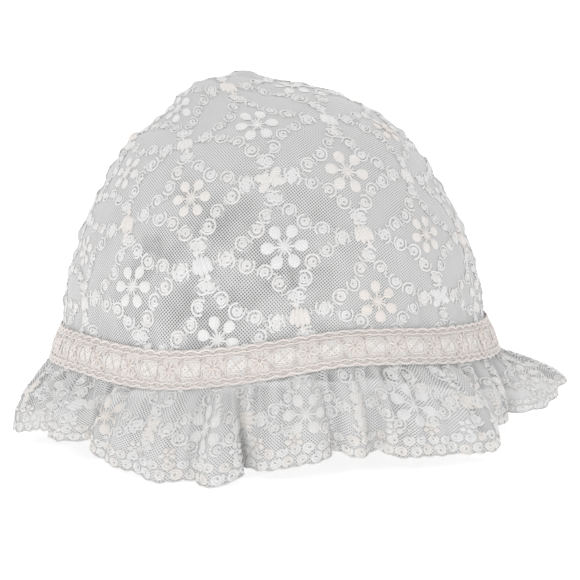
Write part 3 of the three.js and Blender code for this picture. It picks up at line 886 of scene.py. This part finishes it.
def embroidery_cotton(name, white, cream, shade):
    """Cotton in satin stitch: close even threads with a soft shine, some of them cream."""
    material, tree = new_material(name)
    stitch = add_node(tree, "ShaderNodeUVMap", uv_map="Stitch").outputs[0]
    wave = add_node(tree, "ShaderNodeTexWave", {
        "Vector": stitch, "Scale": WAVE_SIZE / STITCH, "Distortion": 2.5, "Detail": 1.0,
    }, wave_type="BANDS", bands_direction="DIAGONAL")
    bump = add_node(tree, "ShaderNodeBump", {
        "Height": wave.outputs[1], "Strength": 0.6, "Distance": 0.0002,
    })
    tint = add_node(tree, "ShaderNodeAttribute", attribute_name="tint")
    thread = mixed(tree, tint.outputs["Fac"], white, cream)
    # Painted shade in the grooves between rows of stitches and along each thread's edges
    groove = ramp(tree, wave.outputs[1], GROOVE_EDGES, (0.0, GROOVE_SHARE))
    finish_material(tree, {
        "Base Color": mixed(tree, groove, thread, shade), "Roughness": 0.8,
        "Normal": bump.outputs[0], **COTTON,
    })
    return material


# Pieces

# Where the crown's net is stretched most, on the flat cloth, and how it closes up from there
# There the open meshes show the most of their dark painted shade
CLEAREST = (-20.0, -8.0)
CLEAR_RADIUS = 22.0
CLEAR_FADE = 60.0
CLOSEST = 0.55
PANEL_CELLS = (220, 110)  # of the mesh, across and up
PULLED = 0.4  # how far the stitches of a rosette draw the meshes under it together
PULL_RADIUS = 3.4
UNDER_TRIM_SHARE = 0.15  # of the insertion's half width, where the crown's net ends under it


def pulled(u, v):
    """How far the meshes are drawn together under the rosettes of the crown's pattern."""
    basis = np.linalg.inv(np.column_stack([STEP_RIGHT, STEP_DOWN]))
    cell = (np.stack([u, v], -1) - NODE_PLACE) @ basis.T - 0.5
    nearest = np.full(np.shape(u), np.inf)
    for _, angle in RING_SPOTS:
        off = cell - np.array([math.cos(angle), math.sin(angle)]) / math.sqrt(2)
        off = off - np.round(off)
        away = off[..., :1] * STEP_RIGHT + off[..., 1:] * STEP_DOWN
        nearest = np.minimum(nearest, np.linalg.norm(away, axis=-1))
    return PULLED * smooth(2 * (1 - nearest / PULL_RADIUS))


def crown_panel(side, name, material):
    """The net of the front (-1) or back (1) panel, closer meshed along the seam at its sides."""

    def at(across, up):
        azimuth = 90 + side * 90 - 90 * np.cos(math.pi * across)
        lowest = TRIM_TOP * UNDER_TRIM_SHARE
        return azimuth, lowest + (1 - lowest) * up

    def cloth(across, up):
        azimuth, slope = at(across, up)
        return panel_cloth(azimuth if side < 0 else 180 - azimuth, slope)

    def closeness(across, up):
        u, v = cloth(across, up)
        off = np.hypot(u - CLEAREST[0], v - CLEAREST[1])
        return CLOSEST * smooth((off - CLEAR_RADIUS) / CLEAR_FADE) + pulled(u, v)

    mesh = sheet_mesh(name, *PANEL_CELLS, lambda a, u: crown(*at(a, u)), cloth, closeness)
    return new_object(name, mesh, material)


FRONT_SEED, BACK_SEED, RUFFLE_SEED, TRIM_SEED = 11, 12, 21, 31


def lattice_rows(origin, step_a, step_b, count, kept):
    """Nodes, daisies and chain rosettes of the flat pattern, where kept(u, v) holds."""
    nodes, bundles, daisies = [], [], []
    chain, chain_back = [], []
    for i in range(-count, count + 1):
        for j in range(-count, count + 1):
            node = origin + i * step_a + j * step_b
            heading = math.atan2(*(step_a + step_b)[::-1])
            if kept(*node):
                (bundles if i % 2 or j % 2 else nodes).append((*node, heading))
            daisy = node + (step_a + step_b) / 2
            if kept(*daisy):
                daisies.append((*daisy, heading))
            for back, angle in RING_SPOTS:
                a, b = math.cos(angle) / math.sqrt(2), math.sin(angle) / math.sqrt(2)
                spot = daisy + a * step_a + b * step_b
                run = -math.sin(angle) * step_a + math.cos(angle) * step_b
                if kept(*spot):
                    row = (*spot, math.atan2(run[1], run[0]))
                    (chain_back if back else chain).append(row)
    return nodes, bundles, daisies, chain, chain_back


ASTRAY = 0.2  # mm that a motif lies off its place
UNEVEN = 0.05  # of its size, that it is larger or smaller


def dressed(rows, draw, turn=0.22, cream=1.0, size=1.0):
    """Rows of u, v and heading set a little astray, with their scale and their tint added."""
    return [
        (u + ASTRAY * draw.normal(), v + ASTRAY * draw.normal(), heading + turn * draw.normal(),
         size * (1 + UNEVEN * draw.normal()), cream * draw.random() ** 2)
        for u, v, heading in rows
    ]


def pattern_parts(rows, draw):
    """The parts that joined() takes, for the rows of a lattice."""
    nodes, bundles, daisies, chain, chain_back = rows
    return [
        (motif(build_rosette, 1), dressed(chain, draw, cream=0.25)),
        (motif(build_rosette, -1), dressed(chain_back, draw, cream=0.25)),
        (motif(build_daisy), dressed(daisies, draw, turn=0.5)),
        (motif(build_leaf_star), dressed(nodes, draw)),
        (motif(build_leaf_bundle), dressed(bundles, draw)),
    ]


PATTERN_REPEATS = 7  # each way from the first node
PATTERN_RADIUS = 185.0


def crown_embroidery(side, name, material):
    """The stitches of the front (-1) or back (1) panel."""
    draw = np.random.default_rng(FRONT_SEED if side < 0 else BACK_SEED)
    rows = lattice_rows(NODE_PLACE, STEP_RIGHT, STEP_DOWN, PATTERN_REPEATS,
                        lambda u, v: math.hypot(u, v) < PATTERN_RADIUS)
    return joined(name, pattern_parts(rows, draw), drape_crown(side), material)


# Painted shade: the hollows between the gathers are left in open net, whose dark painted meshes
# darken them; the ridges lie close, as bunched net does
BUNCHED = 0.55  # how far the ruffle's net closes on its ridges
BUNCHED_BELOW = 0.6  # how far in between the gathers it still lies close
BUNCHED_PLEATS = 1.5  # how much more the small pleats count for
RUFFLE_CELLS = (1440, 30)
RIM_SLACK = 0.15  # mm that the ruffle's net ends below the rim


def ruffle_sheet(name, material):
    """The ruffle's net, in one strip round the hat."""

    def at(across, up):
        return -180 + TURN * across, up * (1 - RIM_SLACK / RUFFLE_DROP)

    def cloth(across, up):
        azimuth, along = at(across, up)
        return np.interp(azimuth, MID_AZIMUTHS, MID_LENGTHS), along * RUFFLE_WIDTH

    def closeness(across, up):
        inwards, pleats = gathers(*at(across, up))
        # open in the hollows, so that the meshes' painted shade darkens them
        return np.clip(BUNCHED * (BUNCHED_BELOW - inwards + BUNCHED_PLEATS * pleats), 0, 1)

    mesh = sheet_mesh(name, *RUFFLE_CELLS, lambda a, u: ruffle(*at(a, u)), cloth, closeness)
    return new_object(name, mesh, material)


RUFFLE_ROW = 20.0  # of daisies and nodes, up from the hem
RUFFLE_CELL = 47.0
RUFFLE_RISE = 22.5
RUFFLE_SHIFT = 0.3  # of half a cell, that the first daisy lies from the strip's start
BORDER_STEP = 4.6
BORDER_ROWS = ((2.5, 0.0), (6.7, 0.5))  # of coils: mm up from the hem, and shift in steps
BORDER_COIL = 1.15  # size of its coils, as a share of those in the rosettes
BORDER_TOP = 10.0
FLOWER_ROW = BORDER_TOP + 0.8
FLOWER_STEP = 3
EDGE_ROW = 0.35
EDGE_OVERLAP = 1.02
EDGE_TINT = 0.3
ANY_WAY = 6.28  # radians within which a motif is turned


def ruffle_embroidery(name, material):
    """The ruffle's stitches: the crown's pattern above, and a close border along the hem."""
    draw = np.random.default_rng(RUFFLE_SEED)
    cells = round(RUFFLE_LENGTH / RUFFLE_CELL)
    half = RUFFLE_LENGTH / cells / 2
    rows = lattice_rows(
        np.array([RUFFLE_SHIFT * half, RUFFLE_ROW]), np.array([half, RUFFLE_RISE]),
        np.array([half, -RUFFLE_RISE]), 2 * cells,
        lambda u, v: 0 <= u < RUFFLE_LENGTH and BORDER_TOP < v < RUFFLE_WIDTH,
    )
    count = round(RUFFLE_LENGTH / BORDER_STEP)
    step = RUFFLE_LENGTH / count
    coils = [((i + shift) * step, v, ANY_WAY * draw.random())
             for i in range(count) for v, shift in BORDER_ROWS]
    flowers = [((i + 0.5) * step, FLOWER_ROW, ANY_WAY * draw.random())
               for i in range(0, count, FLOWER_STEP)]
    edge = [((i + 0.5) * step, EDGE_ROW, 0.0) for i in range(count)]

    def build_edge(bm):
        ridge(bm, lambda k: ((k - 0.5) * step * EDGE_OVERLAP, 0.0 * k), *HEM_THREAD, 4)

    parts = pattern_parts(rows, draw) + [
        (motif(build_coil), dressed(coils, draw, cream=0.7, size=BORDER_COIL)),
        (motif(build_small_flower), dressed(flowers, draw)),
        (motif(build_edge), [(*row, 1.0, EDGE_TINT) for row in edge]),
    ]
    return joined(name, parts, drape_ruffle, material)


LACE_WINDOW = (6.8, 5.6)  # width and height of the insertion's open squares
# Its cords, above and below the middle: distance, swing, waves per repeat, whether they swing
# only outwards, width, height, segments, lift over the ground
CORDS = (
    (5.35, 0.85, 1.5, True, 0.8, 0.45, 24, 0.6),
    (4.25, 0.25, 4.0, False, 0.7, 0.45, 20, 0.6),
    (4.9, 0.45, 8.0, False, 0.5, 0.3, 32, 0.5),
)
STAR_THREAD = (0.8, 0.45)
STAR_POINTS = 8
STAR_REACHES = (2.5, 3.0)
STAR_KNOT = (1.5, 1.5, 1.0)
STAR_LIFT = 0.6
KNOT_THREAD = (0.5, 0.4)
KNOT_RADIUS = 0.9
KNOT_ROWS = (2.4, -2.4)
KNOT_SPREAD = 0.8
WINDOW_THREAD = (0.6, 0.35)
WINDOW_SQUARENESS = 0.5  # a power: 1 is round, and 0 has sharp corners
CROSS_THREAD = (0.35, 0.3)
CROSS_TURN = 0.6
CROSS_REACH = 2.4
WINDOW_LIFT, CROSS_LIFT = 0.5, 0.4
STAR_ASTRAY = 0.1  # radians
# How cream the threads are, from 0 to 1
CORD_TINT, WINDOW_TINT = 0.6, 0.3
STAR_TINT, STAR_TINT_SPREAD = 0.7, 0.3
GROUND_LIFT = 0.45
TRIM_CELLS = (480, 8)


def insertion(name, material, repeats):
    """The lace insertion: scalloped cords, open windows and knotted stars on a crocheted ground."""
    draw = np.random.default_rng(TRIM_SEED)
    repeat = RIM_LENGTH / repeats
    star_gap = repeat - WINDOW_WIDTH

    def build_cords(bm):
        def cord(edge, away, swing, turns, scalloped):
            def path(k):
                wave = np.sin(2 * math.pi * turns * k)
                return repeat * k, edge * (away + swing * (np.abs(wave) if scalloped else wave))

            return path

        for edge in (-1, 1):
            for *route, width, height, segments, lift in CORDS:
                ridge(bm, cord(edge, *route), width, height, segments, lift)

    def build_star(bm):
        for i in range(STAR_POINTS):
            angle = 2 * math.pi / STAR_POINTS * (i + 0.5)
            ridge(bm, spoke(angle, 0.5, STAR_REACHES[i % 2]), *STAR_THREAD, 3, STAR_LIFT)
        for end in (-1, 1):
            for row in KNOT_ROWS:
                knot = arc(KNOT_RADIUS, 0, TURN, (star_gap / 2 * KNOT_SPREAD * end, row))
                ridge(bm, knot, *KNOT_THREAD, 7, STAR_LIFT)
        pad(bm, *STAR_KNOT, cells=3)

    def build_window(bm):
        def frame_line(k):
            angle = 2 * math.pi * k
            c, s = np.cos(angle), np.sin(angle)
            return (LACE_WINDOW[0] / 2 * np.sign(c) * np.abs(c) ** WINDOW_SQUARENESS,
                    LACE_WINDOW[1] / 2 * np.sign(s) * np.abs(s) ** WINDOW_SQUARENESS)

        ridge(bm, frame_line, *WINDOW_THREAD, 24, WINDOW_LIFT)
        for i in range(4):
            cross = spoke(math.pi / 2 * i + CROSS_TURN, 0.2, CROSS_REACH)
            ridge(bm, cross, *CROSS_THREAD, 2, CROSS_LIFT)

    starts = [i * repeat for i in range(repeats)]
    parts = [
        (motif(build_cords), [(u, 0, 0, 1.0, CORD_TINT) for u in starts]),
        (motif(build_window), [(u + WINDOW_WIDTH / 2, 0, 0, 1.0, WINDOW_TINT) for u in starts]),
        (motif(build_star), [
            (u + WINDOW_WIDTH + star_gap / 2, 0, STAR_ASTRAY * draw.normal(), 1.0,
             STAR_TINT + STAR_TINT_SPREAD * draw.random())
            for u in starts
        ]),
    ]
    return joined(name, parts, drape_trim, material)


def trim_ground(name, material):
    """The crochet behind the insertion's cords."""

    def cloth(across, up):
        return across * RIM_LENGTH, -HIDDEN + 2 * HIDDEN * up

    def surface(across, up):
        u, v = cloth(across, up)
        return drape_trim(u, v, np.full(v.shape, GROUND_LIFT))[0]

    mesh = sheet_mesh(name, *TRIM_CELLS, surface, cloth)
    return new_object(name, mesh, material)


TAPE_CELLS = (160, 6)
TAPE_DEPTH = 1.9  # under the crown's outside


def seam_strip(name, material):
    """The seam allowance, from ear to ear inside the crown."""

    def path(across, up):
        side = np.where(across < 0.5, -90.0, 90.0)
        slope = 1 - np.abs(across - 0.5) * 2 * (1 - TRIM_TOP)
        normal = normal_of(crown, side, np.minimum(slope, TOP_LIMIT))
        p = crown(side, slope) - normal * TAPE_DEPTH
        p[..., 1] = AXIS[1] + (up - 0.5) * TAPE_WIDTH
        return p

    def cloth(across, up):
        return across * 2 * SLANTS[-1], up * TAPE_WIDTH

    mesh = sheet_mesh(name, *TAPE_CELLS, path, cloth)
    return new_object(name, mesh, material)


# Settings


def colour_property(name, description, colour):
    return bpy.props.FloatVectorProperty(
        name=name, description=description, subtype="COLOR", size=4, min=0, max=1,
        default=linear(colour))


def length_property(name, description, millimetres):
    return bpy.props.FloatProperty(
        name=name, description=description, subtype="DISTANCE", unit="LENGTH", precision=5,
        min=0.0001, default=millimetres * MM)


class HatSettings(bpy.types.PropertyGroup):
    """Sizes and colours that a maker would change"""

    net_pitch: length_property("Net pitch", "Between the crown net's threads", 0.87)
    net_thread: length_property("Net thread", "Width of the crown net's threads as drawn", 0.29)
    ruffle_pitch: length_property("Ruffle pitch", "Between the threads of the ruffle's net", 0.87)
    ruffle_thread: length_property("Ruffle thread", "Width of the ruffle's threads as drawn", 0.28)
    # The meshes' greys and the close net's darker threads are painted shade
    open_thread: colour_property("Open net", "The threads where the net is stretched", 0xDCDCDC)
    close_thread_shaded: colour_property("Close net", "The threads where the net is bunched", 0xC0C0C0)
    open_mesh_shade: colour_property("Open meshes", "Between the threads of stretched net", 0x646464)
    close_mesh_shade: colour_property("Close meshes", "Between the threads of bunched net", 0xAAAAAA)
    stitch_white: colour_property("White stitches", "The embroidery's usual thread", 0xDFDFDF)
    stitch_cream: colour_property("Cream stitches", "The embroidery's creamiest thread", 0xE1DAD5)
    # The ruffle's threads are the crown's drawn darker: painted shade of the hanging folds
    shaded_ruffle_white: colour_property("White on ruffle", "The ruffle's usual thread", 0xDBDBDB)
    shaded_ruffle_cream: colour_property("Cream on ruffle", "Its creamiest thread", 0xDDD7D2)
    # Painted shade for the grooves between the embroidery's stitches
    stitch_shade: colour_property("Stitch shade", "Between the rows of stitches", 0xBABABA)
    lace_colour: colour_property("Lace", "The insertion's cords", 0xE2DEDB)
    lace_cream: colour_property("Cream lace", "The insertion's stars", 0xE2D9D4)
    # Painted shade for the grooves between the insertion's stitches
    lace_shade: colour_property("Lace shade", "Between the insertion's stitches", 0xCEC9C5)
    ground_colour: colour_property("Lace ground", "The crochet behind the cords", 0xDCD8D5)
    window_colour: colour_property("Lace windows", "The open squares of the insertion", 0xDFDCDA)

    def net_colours(self):
        return self.open_thread, self.close_thread_shaded, self.open_mesh_shade, self.close_mesh_shade


class HAT_OT_crown(bpy.types.Operator):
    """Makes the two embroidered panels of the crown"""

    bl_idname = "hat.crown"
    bl_label = "Crown"

    def execute(self, context):
        look = context.scene.sun_hat
        thread = embroidery_cotton("embroidery_cotton", look.stitch_white, look.stitch_cream,
                                   look.stitch_shade)
        for side, part in ((-1, "front"), (1, "back")):
            net = cotton_net(f"{part}_net", look.net_pitch / MM, look.net_thread / MM,
                             look.net_colours())
            panel = crown_panel(side, f"crown_{part}_net", net)
            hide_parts(f"crown_{part}")
            crown_embroidery(side, f"crown_{part}_embroidery", thread)
        return {"FINISHED"}


class HAT_OT_ruffle(bpy.types.Operator):
    """Makes the gathered ruffle and its embroidery"""

    bl_idname = "hat.ruffle"
    bl_label = "Ruffle"

    def execute(self, context):
        look = context.scene.sun_hat
        net = cotton_net("ruffle_net", look.ruffle_pitch / MM, look.ruffle_thread / MM,
                         look.net_colours(), STREAKS)
        sheet = ruffle_sheet("ruffle_net", net)
        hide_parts("ruffle_brim")
        # The ruffle's threads, drawn darker with painted shade
        thread = embroidery_cotton("ruffle_cotton_shaded", look.shaded_ruffle_white, look.shaded_ruffle_cream,
                                   look.stitch_shade)
        ruffle_embroidery("ruffle_embroidery", thread)
        return {"FINISHED"}


class HAT_OT_insertion(bpy.types.Operator):
    """Makes the lace insertion round the lower edge"""

    bl_idname = "hat.insertion"
    bl_label = "Lace insertion"

    def execute(self, context):
        look = context.scene.sun_hat
        repeats = round(RIM_LENGTH / TRIM_REPEAT)
        lace = embroidery_cotton("cream_lace_cotton", look.lace_colour, look.lace_cream,
                                 look.lace_shade)
        piece = insertion("insertion_lace", lace, repeats)
        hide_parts("trim_band")
        ground = crocheted_ground("crocheted_ground", RIM_LENGTH / repeats,
                                  look.ground_colour, look.window_colour)
        base = trim_ground("insertion_ground", ground)
        return {"FINISHED"}


class HAT_OT_seam(bpy.types.Operator):
    """Makes the seam allowance inside the crown"""

    bl_idname = "hat.seam"
    bl_label = "Crown seam"

    def execute(self, context):
        look = context.scene.sun_hat
        cloth = cotton_net("seam_net", look.net_pitch / MM, 2 * look.net_thread / MM,
                           look.net_colours())
        strip = seam_strip("crown_seam_strip", cloth)
        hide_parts("crown_seam")
        return {"FINISHED"}


# Where the crown's axis meets the ground in the photograph's 580 by 580 frame, and its scale there
PICTURE = 580
AXIS_PIXEL = (277, 430)
PIXELS_PER_MM = 2.82
CAMERA_DISTANCE = 850.0
CAMERA_ELEVATION = 11.0
CAMERA_ROLL = 1.5
SENSOR = 36.0

FLOOR_RADIUS = 22.0  # in metres
FLOOR_SIDES = 64
FLOOR_GLOW = 0.6  # so that the floor is as white as the photograph's background
SKY_STRENGTH = 0.42
NET_LAYERS = 24  # that a ray may pass through
# Lamps: name, from which way (azimuth and elevation in degrees), strength, soft angle in degrees
SUNS = (
    ("overhead", -10, 84, 1.26, 120), ("key", -30, 36, 0.58, 25), ("back", 165, 52, 1.0, 60),
)


def sun_lamp(name, azimuth, elevation, strength, soft):
    light = bpy.data.lights.new(name, "SUN")
    light.energy = strength
    light.angle = math.radians(soft)
    lamp = bpy.data.objects.new(name, light)
    a, e = math.radians(azimuth), math.radians(elevation)
    towards = Vector((math.sin(a) * math.cos(e), -math.cos(a) * math.cos(e), math.sin(e)))
    lamp.rotation_euler = (-towards).to_track_quat("-Z", "Y").to_euler()
    bpy.context.scene.collection.objects.link(lamp)


def photo_camera():
    """The camera that sees the hat as the photograph does."""
    elevation, roll = math.radians(CAMERA_ELEVATION), math.radians(CAMERA_ROLL)
    focal = PIXELS_PER_MM * CAMERA_DISTANCE  # in pixels
    forward = Vector((0, math.cos(elevation), -math.sin(elevation)))
    level_up = Vector((0, math.sin(elevation), math.cos(elevation)))
    level_right = Vector((1, 0, 0))
    right = level_right * math.cos(roll) - level_up * math.sin(roll)
    up = level_right * math.sin(roll) + level_up * math.cos(roll)
    middle = PICTURE / 2
    aim = forward * focal + right * (middle - AXIS_PIXEL[0]) + up * (AXIS_PIXEL[1] - middle)
    aim.normalize()
    right = aim.cross(up).normalized()
    up = right.cross(aim)
    camera = bpy.data.cameras.new("camera")
    camera.sensor_width = SENSOR
    camera.lens = SENSOR * focal / PICTURE
    camera.clip_start, camera.clip_end = 0.05, 2 * FLOOR_RADIUS
    eye = bpy.data.objects.new("camera", camera)
    spot = Vector(AXIS * MM) - forward * CAMERA_DISTANCE * MM
    turn = Matrix((right, up, -aim)).transposed().to_4x4()
    eye.matrix_world = Matrix.Translation(spot) @ turn
    bpy.context.scene.collection.objects.link(eye)
    return eye


class HAT_OT_stage(bpy.types.Operator):
    """Makes the floor, the light and the camera"""

    bl_idname = "hat.stage"
    bl_label = "Stage"

    def execute(self, context):
        scene = context.scene
        bm = bmesh.new()
        bmesh.ops.create_circle(bm, cap_ends=True, radius=FLOOR_RADIUS, segments=FLOOR_SIDES)
        mesh = bpy.data.meshes.new("floor")
        bm.to_mesh(mesh)
        bm.free()
        floor = bpy.data.objects.new("floor", mesh)
        scene.collection.objects.link(floor)
        material, tree = new_material("lit_white_acrylic")
        finish_material(tree, {
            "Base Color": linear(0xFCFCFC), "Roughness": 0.9, "Specular IOR Level": 0.2,
            "Emission Color": linear(0xFFFFFF), "Emission Strength": FLOOR_GLOW,
        })
        mesh.materials.append(material)
        world = bpy.data.worlds.new("soft_box")
        world.use_nodes = True
        world.node_tree.nodes["Background"].inputs[0].default_value = linear(0xFFFFFF)
        world.node_tree.nodes["Background"].inputs[1].default_value = SKY_STRENGTH
        scene.world = world
        for row in SUNS:
            sun_lamp(*row)
        scene.camera = photo_camera()
        scene.view_settings.view_transform = "Standard"
        scene.cycles.transparent_max_bounces = NET_LAYERS
        return {"FINISHED"}


class HAT_PT_panel(bpy.types.Panel):
    """Lists the hat's pieces in the sidebar"""

    bl_idname = "HAT_PT_panel"
    bl_label = "Sun Hat"
    bl_space_type = "VIEW_3D"
    bl_region_type = "UI"
    bl_category = "Sun Hat"

    def draw(self, context):
        layout = self.layout
        settings = context.scene.sun_hat
        for name in HatSettings.__annotations__:
            layout.prop(settings, name)
        for operator in PIECES:
            layout.operator(operator.bl_idname)


PIECES = (HAT_OT_crown, HAT_OT_ruffle, HAT_OT_insertion, HAT_OT_seam, HAT_OT_stage)
CLASSES = (HatSettings, *PIECES, HAT_PT_panel)


def register():
    for cls in CLASSES:
        bpy.utils.register_class(cls)
    bpy.types.Scene.sun_hat = bpy.props.PointerProperty(type=HatSettings)


def unregister():
    del bpy.types.Scene.sun_hat
    for cls in reversed(CLASSES):
        bpy.utils.unregister_class(cls)


def main():
    register()
    for operator in PIECES:
        group, name = operator.bl_idname.split(".")
        getattr(getattr(bpy.ops, group), name)()


if __name__ == "__main__":
    main()
